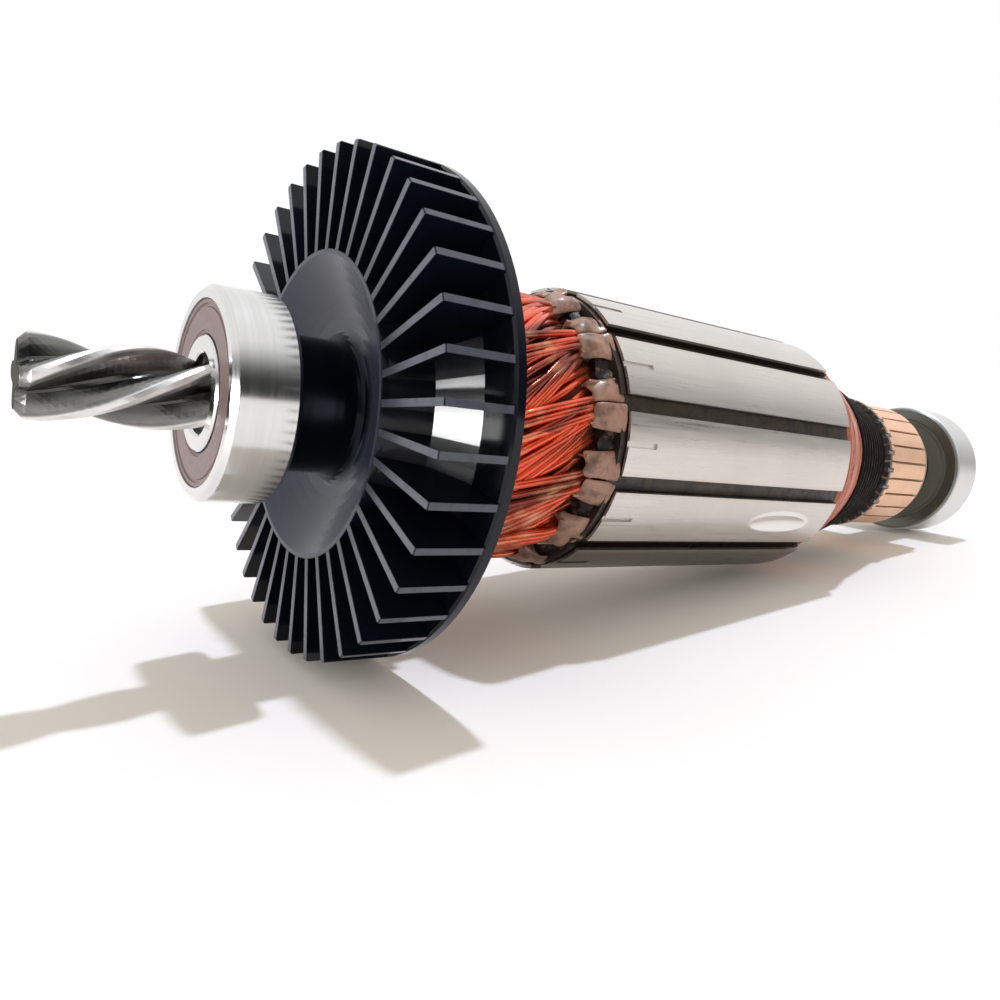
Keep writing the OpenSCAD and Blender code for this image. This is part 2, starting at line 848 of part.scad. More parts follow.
shaft();
fan();
front_bearing_inner_ring();
front_bearing_outer_ring();
front_bearing_balls();
front_bearing_cage();
front_bearing_front_seal();
front_bearing_rear_seal();
rear_bearing_inner_ring();
rear_bearing_outer_ring();
rear_bearing_balls();
rear_bearing_cage();
rear_bearing_front_seal();
rear_bearing_rear_seal();
lamination_stack();
front_end_disc();
rear_end_disc();
slot_liners();
slot_wedges();
winding();
shaft_insulation();
binding_cord();
lead_wires();
commutator_bars();
commutator_body();
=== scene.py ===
"""Dresses the motor armature: finishes for the built pieces, and the wires, cuffs and trim."""
import json
import math
import random

import bmesh
import bpy
from mathutils import Matrix, Vector


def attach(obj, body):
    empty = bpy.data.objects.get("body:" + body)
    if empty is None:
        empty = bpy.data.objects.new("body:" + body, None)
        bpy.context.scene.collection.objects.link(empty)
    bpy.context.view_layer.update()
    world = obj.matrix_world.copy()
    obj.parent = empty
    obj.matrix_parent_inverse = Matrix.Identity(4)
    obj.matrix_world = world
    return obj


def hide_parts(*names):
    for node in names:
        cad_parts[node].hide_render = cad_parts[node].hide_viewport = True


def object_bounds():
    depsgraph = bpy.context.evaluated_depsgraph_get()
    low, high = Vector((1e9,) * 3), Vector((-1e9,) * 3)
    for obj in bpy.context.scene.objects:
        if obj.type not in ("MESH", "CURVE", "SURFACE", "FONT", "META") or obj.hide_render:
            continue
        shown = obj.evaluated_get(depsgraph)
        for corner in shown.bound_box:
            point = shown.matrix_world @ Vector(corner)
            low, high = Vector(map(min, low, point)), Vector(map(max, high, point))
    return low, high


bl_info = {
    "name": "Motor armature",
    "version": (1, 0, 0),
    "blender": (4, 5, 0),
    "location": "View3D > Sidebar > Armature",
    "description": "Finishes and winding of a power tool's motor armature",
    "category": "Object",
}

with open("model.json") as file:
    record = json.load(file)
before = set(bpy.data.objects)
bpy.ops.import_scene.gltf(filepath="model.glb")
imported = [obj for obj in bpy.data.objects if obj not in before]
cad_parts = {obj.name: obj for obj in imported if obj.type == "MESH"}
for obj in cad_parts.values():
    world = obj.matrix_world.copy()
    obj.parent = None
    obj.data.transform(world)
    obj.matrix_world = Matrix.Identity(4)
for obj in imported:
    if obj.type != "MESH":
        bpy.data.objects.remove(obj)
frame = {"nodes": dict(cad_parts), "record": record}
CAD_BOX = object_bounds()
MM = 0.001
MOUNTS = {m["name"]: m for m in frame["record"]["mounts"]}

# The shaft's own frame: Z up the shaft from the fan's front face, Y upwards, X to the far side
SHAFT = Vector(MOUNTS["rear_bearing_seat"]["axis"]).normalized()
FAR = Vector((0, 1, 0))
RISE = SHAFT.cross(FAR)
TURN = Matrix((FAR, RISE, SHAFT)).transposed()
BEARING_TO_FAN = 12.3 * MM
LAY = Matrix.Translation(SHAFT * BEARING_TO_FAN) @ TURN.to_4x4()

# Radii of the built pieces
PINION_ROOT = 2.9 * MM
PINION_CREST = 5.9 * MM
NECK_RADIUS = 10.7 * MM
DISH_RADIUS = 24.4 * MM
FAN_RADIUS = 40.5 * MM
CORE_RADIUS = 26.7 * MM
BAR_RADIUS = 16.0 * MM

# Places of the built pieces along the shaft
SHAFT_TIP = -40.7 * MM
DISH_DEPTH = 4.9 * MM
PLATE_FRONT = 10.7 * MM
RISER_FRONT = 145.3 * MM
REAR_BEARING_FRONT = 179.0 * MM

# Lip and rim of the bearings' seals, as radii
FRONT_SEAL = (8.76 * MM, 13.9 * MM)
REAR_SEAL = (8.9 * MM, 14.3 * MM)

# The balance cut in the core: station and angle of its middle, and half its length and width
CUT_STATION = 94.6 * MM
CUT_ANGLE = math.radians(-149.8)
CUT_HALF_LENGTH = 9.7 * MM
CUT_HALF_WIDTH = 0.105

# The middle of the core's teeth that lie underneath, where their painted shade is centred, as an angle
# round the shaft
UNDERSIDE = math.radians(-112)

# Radius of the winding's bore, on the insulating tube
SLEEVE = 8.3 * MM

# In millimetres: radius of the rear coil heads, and the varnish fringe's outline as pairs of
# radius and distance in front of the core
REAR_SHELL = 24.0
FRINGE = ((19.0, 2.4), (22.0, 3.4), (23.6, 3.2), (24.3, 2.0), (24.6, 1.3), (24.4, 1.0), (19.0, 1.0))

# How a front strand turns in: the straight share of it, then how far forwards and inwards it goes
STRAIGHT = 0.68
SHOULDER_LENGTH = 3.6 * MM
SHOULDER_DEPTH = 9.5 * MM

# A paper tab: its thickness, its radius at the core, the radius at which its width holds, and
# the most that it may reach
TAB_THICKNESS = 0.6 * MM
TAB_RADIUS = 25.2 * MM
TAB_MIDDLE = 25.0 * MM
TAB_REACH = 25.8 * MM

# The stage in metres, with the sun's width as an angle and the film's in millimetres
SUN_FROM = (0.2, 0.07, 1.0)
SUN_COLOUR = (0.95, 1.0, 1.18)
SUN_WIDTH = math.radians(2.6)
WINDOW_AT = (-0.176, -0.051, 0.018)
WINDOW_TOWARDS = (0.023, -0.030, -0.003)
WINDOW_SIZE = (0.052, 0.047)
FILM_WIDTH = 36
NEAREST = 0.005
FLOOR_HALF_SIDE = 4
FLOOR_GAP = 0.02 * MM


# ---- Properties ----

class ArmatureWinding(bpy.types.PropertyGroup):
    """Sizes of the winding and its insulation."""
    slots: bpy.props.IntProperty(
        name="Slots", description="Number of slots in the core", default=12, min=3)
    slot_clock: bpy.props.FloatProperty(
        name="First slot", description="Angle of the first slot around the shaft",
        default=math.radians(16), subtype="ANGLE")
    core_front: bpy.props.FloatProperty(
        name="Core front", description="Distance of the core's front face from the fan's front face",
        default=45.3 * MM, unit="LENGTH")
    core_rear: bpy.props.FloatProperty(
        name="Core rear", description="Distance of the core's rear face from the fan's front face",
        default=110.9 * MM, unit="LENGTH")
    coil_radius: bpy.props.FloatProperty(
        name="Coil radius", description="Outer radius of the front coil heads",
        default=24.8 * MM, unit="LENGTH")
    coil_front: bpy.props.FloatProperty(
        name="Coil front", description="Distance of the coil heads' front from the fan's front face",
        default=21.7 * MM, unit="LENGTH")
    wire: bpy.props.FloatProperty(
        name="Wire", description="Diameter of the enamelled wire", default=1.4 * MM, unit="LENGTH")
    strands: bpy.props.IntProperty(
        name="Strands", description="Strands that spread from one slot in front", default=9, min=4)
    rear_wire: bpy.props.FloatProperty(
        name="Rear wire", description="Diameter of the wire behind the core",
        default=1.2 * MM, unit="LENGTH")
    rear_strands: bpy.props.IntProperty(
        name="Rear strands", description="Strands that leave one slot behind the core",
        default=9, min=2)
    cuff_length: bpy.props.FloatProperty(
        name="Cuff length", description="Length of the folded paper in front of the core",
        default=6.4 * MM, unit="LENGTH")
    binding_front: bpy.props.FloatProperty(
        name="Binding front", description="Distance of the binding from the fan's front face",
        default=126.1 * MM, unit="LENGTH")
    seed: bpy.props.IntProperty(
        name="Seed", description="Start value for the wires' wander and the paper's creases", default=7)


class ArmatureColours(bpy.types.PropertyGroup):
    """Colours of the finishes."""
    fan: bpy.props.FloatVectorProperty(
        name="Fan", description="Moulded plastic of the fan", subtype="COLOR", size=3,
        default=(0.004, 0.005, 0.010))
    # painted highlight: the colour that the blades' edges are painted where they catch the light
    fan_edge_highlight: bpy.props.FloatVectorProperty(
        name="Fan edges", description="Scuffed edges of the fan's blades", subtype="COLOR", size=3,
        default=(0.15, 0.16, 0.205))
    # painted sheen: the dish is painted lighter than the rest of the fan, for the light that it mirrors
    dish: bpy.props.FloatVectorProperty(
        name="Dish", description="Hazy plastic of the fan's dished hub", subtype="COLOR", size=3,
        default=(0.052, 0.060, 0.090))
    core: bpy.props.FloatVectorProperty(
        name="Core", description="Turned face of the lamination stack", subtype="COLOR", size=3,
        default=(0.70, 0.66, 0.62))
    copper: bpy.props.FloatVectorProperty(
        name="Wire", description="Enamelled copper wire", subtype="COLOR", size=3,
        default=(0.80, 0.10, 0.035))
    bars: bpy.props.FloatVectorProperty(
        name="Bars", description="Turned copper of the commutator", subtype="COLOR", size=3,
        default=(0.90, 0.56, 0.37))
    paper: bpy.props.FloatVectorProperty(
        name="Paper", description="Varnished insulating paper", subtype="COLOR", size=3,
        default=(0.36, 0.20, 0.14))
    seal: bpy.props.FloatVectorProperty(
        name="Seal", description="Rubber seal of the front bearing", subtype="COLOR", size=3,
        default=(0.30, 0.21, 0.21))


class ArmatureStage(bpy.types.PropertyGroup):
    """Camera, lamps and floor."""
    camera_place: bpy.props.FloatVectorProperty(
        name="Camera place", description="Position of the camera", subtype="XYZ", unit="LENGTH", size=3,
        default=(-40.17 * MM, -125.45 * MM, 6.71 * MM))
    camera_azimuth: bpy.props.FloatProperty(
        name="Camera azimuth", description="Direction the camera looks in, from +Y towards +X",
        subtype="ANGLE", default=math.radians(35.68))
    camera_drop: bpy.props.FloatProperty(
        name="Camera drop", description="Angle by which the camera looks down",
        subtype="ANGLE", default=math.radians(10.02))
    camera_roll: bpy.props.FloatProperty(
        name="Camera roll", description="Angle by which the camera's right side is raised",
        subtype="ANGLE", default=math.radians(0.465))
    lens: bpy.props.FloatProperty(name="Lens", description="Focal length in millimetres", default=29.78)
    fill: bpy.props.FloatVectorProperty(
        name="Fill light", description="Soft light from all sides", subtype="COLOR", size=3,
        default=(0.79, 0.74, 0.66))
    key: bpy.props.FloatProperty(
        name="Key light", description="Strength of the lamp overhead", default=1.6, min=0)
    window: bpy.props.FloatProperty(
        name="Window light", description="Power of the small softbox on the left", default=0.55, min=0,
        unit="POWER")


# ---- Helpers ----

def station(z, radius=0.0, angle=0.0):
    """A point of the shaft's frame, in the object's frame."""
    return LAY @ Vector((radius * math.cos(angle), radius * math.sin(angle), z))


def slot_angles(winding):
    """The angles of the slots round the shaft."""
    return [winding.slot_clock + k * math.tau / winding.slots for k in range(winding.slots)]


def mesh_object(name, bm, material, body):
    """Makes a finished piece of a bmesh that is built in the shaft's frame."""
    bm.transform(LAY)
    mesh = bpy.data.meshes.new(name)
    bm.to_mesh(mesh)
    bm.free()
    return place(name, mesh, material, body)


def place(name, mesh, material, body):
    """Puts a mesh in the scene, on its body and with its slot."""
    obj = bpy.data.objects.new(name, mesh)
    bpy.context.scene.collection.objects.link(obj)
    mesh.materials.clear()
    mesh.materials.append(material)
    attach(obj, body)
    return obj


def smooth(obj, angle=math.radians(35)):
    """Shades a piece smooth, with sharp edges past an angle."""
    obj.data.shade_smooth()
    obj.data.set_sharp_from_angle(angle=angle)
    return obj


def lathe(profile, steps=96):
    """Turns an open profile of radius and station around the shaft."""
    bm = bmesh.new()
    verts = [bm.verts.new((r, 0, z)) for r, z in profile]
    edges = [bm.edges.new(pair) for pair in zip(verts, verts[1:])]
    bmesh.ops.spin(bm, geom=verts + edges, cent=(0, 0, 0), axis=(0, 0, 1), dvec=(0, 0, 0),
                   angle=math.tau, steps=steps, use_merge=True, use_duplicate=False)
    bmesh.ops.remove_doubles(bm, verts=bm.verts, dist=1e-7)
    bmesh.ops.recalc_face_normals(bm, faces=bm.faces)
    return bm


def spread(count):
    """That many even steps from 0 to 1."""
    return [i / (count - 1) for i in range(count)]


class Graph:
    """Adds nodes to a node tree."""

    def __init__(self, tree):
        self.nodes = tree.nodes
        self.links = tree.links

    def put(self, socket, value):
        """Gives a socket another socket's result, or a plain value."""
        if hasattr(value, "is_output"):
            self.links.new(value, socket)
        else:
            socket.default_value = value

    def math(self, operation, a, b=0.0):
        """Reckons with one or two numbers."""
        node = self.nodes.new("ShaderNodeMath")
        node.operation = operation
        self.put(node.inputs[0], a)
        self.put(node.inputs[1], b)
        return node.outputs[0]

    def vector(self, operation, a, b=None):
        """Reckons with one or two vectors, and gives the node's outputs."""
        node = self.nodes.new("ShaderNodeVectorMath")
        node.operation = operation
        self.put(node.inputs[0], a)
        if b is not None:
            self.put(node.inputs[1], b)
        return node.outputs

    def band(self, value, low, high, to_low=0.0, to_high=1.0):
        """Maps a value between two limits, smoothly, to another pair."""
        node = self.nodes.new("ShaderNodeMapRange")
        node.interpolation_type = "SMOOTHSTEP"
        self.put(node.inputs["Value"], value)
        limits = (("From Min", low), ("From Max", high), ("To Min", to_low), ("To Max", to_high))
        for key, number in limits:
            node.inputs[key].default_value = number
        return node.outputs["Result"]


class Finish(Graph):
    """Builds a node material in the shaft's frame."""

    def __init__(self, name, colour, roughness, metallic=0.0, coat=0.0, specular=0.5):
        self.material = bpy.data.materials.new(name)
        self.material.use_nodes = True
        super().__init__(self.material.node_tree)
        self.shader = self.nodes["Principled BSDF"]
        for key, value in (("Base Color", (*colour, 1)), ("Roughness", roughness),
                           ("Metallic", metallic), ("Specular IOR Level", specular),
                           ("Coat Weight", coat), ("Coat Roughness", 0.12)):
            self.shader.inputs[key].default_value = value
        coords = self.nodes.new("ShaderNodeTexCoord")
        lay = self.nodes.new("ShaderNodeMapping")
        lay.inputs["Rotation"].default_value = TURN.inverted().to_euler()
        lay.inputs["Location"].default_value = (0, 0, -BEARING_TO_FAN)
        self.links.new(coords.outputs["Object"], lay.inputs["Vector"])
        self.place = lay.outputs["Vector"]
        split = self.nodes.new("ShaderNodeSeparateXYZ")
        self.links.new(self.place, split.inputs[0])
        self.x, self.y, self.z = split.outputs
        self.radius = self.vector("LENGTH", self.combine(self.x, self.y, 0.0))["Value"]

    def combine(self, x, y, z):
        """A vector of three values."""
        node = self.nodes.new("ShaderNodeCombineXYZ")
        for socket, value in zip(node.inputs, (x, y, z)):
            self.put(socket, value)
        return node.outputs[0]

    def angle(self):
        """The angle round the shaft."""
        return self.math("ARCTAN2", self.y, self.x)

    def around(self, radius):
        """The way round the shaft, along a circle of that radius."""
        return self.math("MULTIPLY", self.angle(), radius)

    def noise(self, vector, scale, detail=3.0, rough=0.55):
        """Noise between 0 and 1."""
        node = self.nodes.new("ShaderNodeTexNoise")
        self.put(node.inputs["Vector"], vector)
        node.inputs["Scale"].default_value = scale
        node.inputs["Detail"].default_value = detail
        node.inputs["Roughness"].default_value = rough
        return node.outputs["Fac"]

    def turned(self, scale):
        """Fine lines round the shaft, as a lathe leaves them."""
        return self.noise(self.combine(self.radius, self.z, 0.0), scale, 2)

    def stretched(self, x, y, z):
        """The place, scaled by its own factor along each axis."""
        return self.vector("MULTIPLY", self.place, (x, y, z))["Vector"]

    def mix(self, factor, a, b):
        """A colour between two others."""
        node = self.nodes.new("ShaderNodeMix")
        node.data_type = "RGBA"
        self.put(node.inputs["Factor"], factor)
        for socket, value in ((node.inputs[6], a), (node.inputs[7], b)):
            self.put(socket, value if hasattr(value, "is_output") else (*value, 1))
        return node.outputs[2]

    def both(self, a, b):
        """A mask that is on where two masks are on."""
        return self.math("MULTIPLY", a, b)

    def colour(self, value):
        """Drives the base colour."""
        self.links.new(value, self.shader.inputs["Base Color"])

    def roughness(self, value):
        """Drives the roughness."""
        self.links.new(value, self.shader.inputs["Roughness"])

    def bump(self, height, strength, distance):
        """Raises the surface in the light by a height map."""
        node = self.nodes.new("ShaderNodeBump")
        node.inputs["Strength"].default_value = strength
        node.inputs["Distance"].default_value = distance
        self.links.new(height, node.inputs["Height"])
        self.links.new(node.outputs["Normal"], self.shader.inputs["Normal"])


def tone(colour, factor):
    """A lighter or darker copy of a colour."""
    return tuple(min(1.0, c * factor) for c in colour)


def dress(node, finish):
    """Gives a built node its finish."""
    obj = frame["nodes"][node]
    obj.data.materials.clear()
    obj.data.materials.append(finish.material)


# ---- Finishes ----

def shaft_steel():
    """Dark steel with painted shade in the pinion's flutes, a painted highlight along its crests, and a
    darker, dull tip.
    """
    f = Finish("shaft_steel", (0.3, 0.3, 0.3), 0.3, metallic=1.0)
    grain = f.noise(f.stretched(1, 1, 0.25), 900, 4)
    patch = f.noise(f.place, 260, 3)
    # painted shade: the flutes are painted near black; painted highlight: the crests are painted pale,
    # with the flanks between
    painted_flute_shade = f.mix(patch, (0.035, 0.035, 0.032), (0.13, 0.13, 0.12))
    flank = f.mix(grain, (0.12, 0.12, 0.115), (0.27, 0.265, 0.25))
    painted_crest_highlight = f.mix(grain, (0.62, 0.61, 0.59), (0.90, 0.89, 0.87))
    on_flank = f.band(f.radius, PINION_ROOT + 0.4 * MM, PINION_ROOT + 2.1 * MM)
    on_crest = f.band(f.radius, PINION_CREST - 0.55 * MM, PINION_CREST - 0.15 * MM)
    on_tip = f.band(f.z, SHAFT_TIP + 0.04 * MM, SHAFT_TIP + 0.15 * MM, 1.0, 0.0)
    body = f.mix(on_crest, f.mix(on_flank, painted_flute_shade, flank), painted_crest_highlight)
    f.colour(f.mix(on_tip, body, (0.045, 0.043, 0.036)))
    rough_tip = f.band(f.z, SHAFT_TIP + 0.04 * MM, SHAFT_TIP + 0.2 * MM, 0.55, 0.0)
    rough_side = f.band(f.radius, PINION_CREST - 1.3 * MM, PINION_CREST - 0.5 * MM, 0.24, 0.36)
    f.roughness(f.math("ADD", rough_tip, rough_side))
    f.bump(grain, 0.08, 0.04 * MM)
    return f


def fan_plastic(colours):
    """Glossy moulded plastic with painted highlights on the blades' edges, a dish painted lighter as a
    painted sheen, and a dark neck.
    """
    f = Finish("fan_plastic", colours.fan, 0.2, specular=0.3)
    blade_front = f.both(f.band(f.z, 0.02 * MM, 0.14 * MM, 1.0, 0.0),
                         f.band(f.radius, DISH_RADIUS - 0.1 * MM, DISH_RADIUS + 0.2 * MM))
    blade_end = f.both(f.band(f.radius, FAN_RADIUS - 0.12 * MM, FAN_RADIUS - 0.03 * MM),
                       f.band(f.z, PLATE_FRONT - 0.3 * MM, PLATE_FRONT + 0.05 * MM, 1.0, 0.0))
    inside_rim = f.both(f.band(f.radius, DISH_RADIUS - 0.2 * MM, DISH_RADIUS - 0.04 * MM, 1.0, 0.0),
                        f.band(f.z, DISH_DEPTH + 0.3 * MM, DISH_DEPTH + 0.7 * MM, 1.0, 0.0))
    dish = f.both(inside_rim, f.band(f.radius, NECK_RADIUS + 0.5 * MM, NECK_RADIUS + 2.5 * MM))
    neck = f.both(f.band(f.radius, NECK_RADIUS + 0.6 * MM, NECK_RADIUS + 1.5 * MM, 1.0, 0.0),
                  f.band(f.z, DISH_DEPTH - 0.3 * MM, DISH_DEPTH + 0.3 * MM, 1.0, 0.0))
    # painted highlight: the blades' front edges and ends are painted pale in patches, and the front
    # edges darker towards the dish as painted shade
    edge_highlight_patches = f.band(f.noise(f.place, 700, 4), 0.2, 0.55, 0.7, 1.0)
    plain = f.mix(f.noise(f.place, 120, 2), tone(colours.fan, 0.7), tone(colours.fan, 1.4))
    # painted sheen: the dish is painted lighter, for the light that it mirrors
    painted_dish_sheen = f.mix(f.noise(f.place, 60, 3), tone(colours.dish, 0.75), tone(colours.dish, 1.3))
    edge_highlight = f.mix(f.band(f.radius, 25 * MM, 34 * MM), tone(colours.fan_edge_highlight, 0.42), colours.fan_edge_highlight)
    shade = f.mix(f.both(blade_front, edge_highlight_patches), f.mix(dish, plain, painted_dish_sheen), edge_highlight)
    f.colour(f.mix(f.both(blade_end, edge_highlight_patches), shade, tone(colours.fan_edge_highlight, 0.55)))
    f.roughness(f.band(f.math("MAXIMUM", dish, blade_front), 0.1, 0.9, 0.12, 0.2))
    # the neck mirrors little of what is round it
    f.links.new(f.math("MULTIPLY", neck, 0.65), f.shader.inputs["Metallic"])
    f.bump(f.noise(f.place, 420, 2), 0.04, 0.05 * MM)
    return f


def ring_steel():
    """Polished bearing steel with fine turned lines."""
    f = Finish("bearing_steel", (0.74, 0.74, 0.74), 0.16, metallic=1.0)
    turned = f.turned(2600)
    f.colour(f.mix(turned, (0.66, 0.655, 0.65), (0.80, 0.795, 0.785)))
    f.roughness(f.band(turned, 0.25, 0.75, 0.14, 0.18))
    return f


def rear_ring_steel():
    """Satin bearing steel with its front face painted dark, as a painted reflection of the dark parts
    in front of it.
    """
    f = Finish("rear_bearing_steel", (0.7, 0.7, 0.69), 0.34, metallic=0.9)
    turned = f.turned(2000)
    # painted reflection: the front face is painted dark where it mirrors the winding and the commutator
    front = f.band(f.z, REAR_BEARING_FRONT + 0.3 * MM, REAR_BEARING_FRONT + 0.7 * MM, 1.0, 0.0)
    face = f.both(front, f.band(f.radius, REAR_SEAL[1] - 0.3 * MM, REAR_SEAL[1] - 0.1 * MM))
    satin = f.mix(turned, (0.62, 0.62, 0.61), (0.76, 0.76, 0.75))
    f.colour(f.mix(face, satin, (0.19, 0.20, 0.175)))
    f.roughness(f.band(turned, 0.25, 0.75, 0.26, 0.4))
    f.bump(turned, 0.06, 0.02 * MM)
    return f


def ball_steel():
    """Mirror finish of the balls."""
    f = Finish("ball_steel", (0.8, 0.8, 0.8), 0.06, metallic=1.0)
    f.colour(f.mix(f.noise(f.place, 500), (0.76, 0.76, 0.77), (0.84, 0.84, 0.84)))
    return f


def rubber(name, base, roughness, lip, rim, sheen=0.0):
    """Moulded rubber with a faint mottle, and painted shade in the narrow gaps at its lip and its rim.
    """
    f = Finish(name, base, roughness, metallic=sheen)
    mottle = f.noise(f.place, 1500, 4)
    rings = f.noise(f.combine(f.radius, 0.0, 0.0), 1400, 1)
    face = f.mix(f.both(mottle, rings), tone(base, 0.85), tone(base, 1.25))
    # painted shade: the rubber is painted dark at its lip and its rim, where it meets the rings
    painted_gap_shade = f.math("MAXIMUM", f.band(f.radius, rim - 0.25 * MM, rim - 0.05 * MM),
                    f.band(f.radius, lip + 0.05 * MM, lip + 0.3 * MM, 1.0, 0.0))
    f.colour(f.mix(painted_gap_shade, face, tone(base, 0.12)))
    f.roughness(f.band(mottle, 0.3, 0.7, roughness - 0.06, roughness + 0.08))
    f.bump(mottle, 0.12, 0.04 * MM)
    return f


def core_steel(colours, winding):
    """Turned edges of the laminations, with scratches along the shaft and dark slots."""
    f = Finish("lamination_steel", colours.core, 0.32, metallic=0.9)
    angle = f.angle()
    along = f.math("MULTIPLY", f.z, 0.03)
    scratch = f.noise(f.combine(f.around(26 * MM), along, 0.0), 1500, 5, 0.7)
    sheets = f.noise(f.combine(f.z, 0.0, 0.0), 2400, 1)
    cloud = f.noise(f.place, 45, 3)
    face = f.mix(scratch, tone(colours.core, 0.74), tone(colours.core, 1.22))
    face = f.mix(f.band(cloud, 0.4, 0.7), face, tone(colours.core, 0.92))
    # browned where the slots begin
    phase = f.math("MULTIPLY", f.math("SUBTRACT", angle, winding.slot_clock), winding.slots)
    face = f.mix(f.band(f.math("COSINE", phase), 0.55, 0.9, 0.0, 0.3), face, (0.40, 0.33, 0.27))
    # the balance cut is bright
    long = f.math("DIVIDE", f.math("SUBTRACT", f.z, CUT_STATION), CUT_HALF_LENGTH)
    wide = f.math("DIVIDE", f.math("SUBTRACT", angle, CUT_ANGLE), CUT_HALF_WIDTH)
    reach = f.math("ADD", f.math("MULTIPLY", long, long), f.math("MULTIPLY", wide, wide))
    cut = f.band(reach, 0.9, 1.15, 1.0, 0.0)
    face = f.mix(cut, face, (0.85, 0.84, 0.81))
    # painted shade: the teeth underneath are painted dark, as they mirror the floor's shadow
    away = f.math("ABSOLUTE", f.math("SUBTRACT", angle, UNDERSIDE))
    under = f.math("SUBTRACT", 1.0, f.band(away, math.radians(14), math.radians(27)))
    face = f.mix(f.math("MULTIPLY", under, 0.85), face, (0.12, 0.106, 0.088))
    # the slots are dark
    below = f.band(f.radius, CORE_RADIUS - 0.7 * MM, CORE_RADIUS - 0.4 * MM, 1.0, 0.0)
    inside = f.both(below, f.math("SUBTRACT", 1.0, cut))
    f.colour(f.mix(inside, face, (0.05, 0.035, 0.025)))
    f.roughness(f.band(scratch, 0.25, 0.75, 0.24, 0.42))
    f.bump(f.math("ADD", scratch, f.math("MULTIPLY", sheets, 0.5)), 0.12, 0.03 * MM)
    return f


def fibre(name, base, gloss=0.45):
    """Varnished fibre or paper, stained in patches."""
    f = Finish(name, base, gloss, coat=0.12)
    fleck = f.noise(f.place, 900, 4)
    stain = f.noise(f.place, 330, 3)
    flecked = f.mix(fleck, tone(base, 0.7), tone(base, 1.35))
    f.colour(f.mix(f.band(stain, 0.42, 0.66), flecked, tone(base, 0.42)))
    f.roughness(f.band(fleck, 0.3, 0.7, gloss - 0.1, gloss + 0.15))
    f.bump(fleck, 0.3, 0.06 * MM)
    return f


def copper_wire(colours):
    """Varnished enamelled copper, from orange to red brown, strand by strand, with painted highlights
    in patches.
    """
    f = Finish("enamelled_copper", colours.copper, 0.3, metallic=0.7, coat=0.35)
    across = f.math("ADD", f.around(24 * MM), f.math("MULTIPLY", f.z, 0.6))
    strand = f.noise(f.combine(across, f.math("MULTIPLY", f.z, 0.06), 0.0), 260, 1)
    patch = f.noise(f.place, 170, 2)
    shade = f.mix(f.band(strand, 0.34, 0.60), tone(colours.copper, 0.27), tone(colours.copper, 1.1))
    # painted highlight: pale patches stand in for the light the strands catch
    f.colour(f.mix(f.band(patch, 0.5, 0.74, 0.0, 0.55), shade, (0.92, 0.50, 0.27)))
    f.roughness(f.band(patch, 0.3, 0.7, 0.18, 0.32))
    return f


def rear_copper():
    """Paler varnished copper behind the core."""
    f = Finish("pale_copper", (0.55, 0.17, 0.10), 0.36, metallic=0.35, coat=0.1)
    run = f.noise(f.combine(f.radius, f.z, f.around(3 * MM)), 500, 3)
    f.colour(f.mix(f.band(run, 0.3, 0.7), (0.34, 0.075, 0.04), (0.62, 0.20, 0.12)))
    f.roughness(f.band(run, 0.3, 0.7, 0.26, 0.44))
    return f


def varnish_and_gap_shade():
    """Dark varnish that fills the winding under the wires, painted near black as the shade between
    them.
    """
    f = Finish("varnish_and_gap_shade", (0.05, 0.012, 0.007), 0.6, specular=0.25)
    f.colour(f.mix(f.noise(f.place, 320, 4), (0.016, 0.005, 0.003), (0.11, 0.026, 0.013)))
    f.bump(f.noise(f.place, 600, 3), 0.5, 0.2 * MM)
    return f


def fringe_varnish():
    """Charred looking varnish that soaks the paper at the core's face."""
    f = Finish("fringe_varnish", (0.03, 0.018, 0.012), 0.5, specular=0.35)
    spot = f.noise(f.place, 600, 4, 0.7)
    f.colour(f.mix(f.band(spot, 0.5, 0.75), (0.012, 0.007, 0.005), (0.26, 0.16, 0.11)))
    f.bump(f.noise(f.place, 900, 4), 0.6, 0.2 * MM)
    return f


def solder():
    """Tinned ends of the leads in the risers."""
    f = Finish("tinned_wire", (0.30, 0.28, 0.27), 0.4, metallic=0.6)
    f.colour(f.mix(f.noise(f.place, 700, 3), (0.10, 0.08, 0.075), (0.46, 0.42, 0.38)))
    return f


def bar_copper(colours):
    """Turned copper, with tinned risers at the winding's end."""
    f = Finish("commutator_copper", colours.bars, 0.34, metallic=0.4)
    turned = f.turned(1500)
    cloud = f.noise(f.place, 200, 3)
    bar = f.mix(cloud, tone(colours.bars, 0.8), tone(colours.bars, 1.08))
    tin = f.mix(cloud, (0.05, 0.052, 0.065), (0.24, 0.22, 0.22))
    on_riser = f.band(f.z, RISER_FRONT + 0.6 * MM, RISER_FRONT + 1.2 * MM, 1.0, 0.0)
    between = f.band(f.radius, BAR_RADIUS - 0.8 * MM, BAR_RADIUS - 0.3 * MM, 1.0, 0.0)
    f.colour(f.mix(between, f.mix(on_riser, bar, tin), (0.15, 0.06, 0.03)))
    f.roughness(f.band(turned, 0.3, 0.7, 0.3, 0.4))
    return f


def bound_cord():
    """Black varnished cord with a coarse twist."""
    f = Finish("binding_cord", (0.010, 0.007, 0.005), 0.45, specular=0.07)
    knot = f.noise(f.place, 420, 3)
    f.colour(f.mix(knot, (0.003, 0.002, 0.0015), (0.012, 0.008, 0.006)))
    f.roughness(f.band(knot, 0.3, 0.7, 0.4, 0.65))
    f.bump(knot, 0.5, 0.2 * MM)
    return f


def resin(name, base):
    """Moulded resin or plastic."""
    f = Finish(name, base, 0.42)
    grain = f.noise(f.place, 1300, 3)
    f.colour(f.mix(grain, tone(base, 0.75), tone(base, 1.3)))
    f.roughness(f.band(grain, 0.3, 0.7, 0.34, 0.52))
    f.bump(grain, 0.15, 0.04 * MM)
    return f


# ---- Operators ----

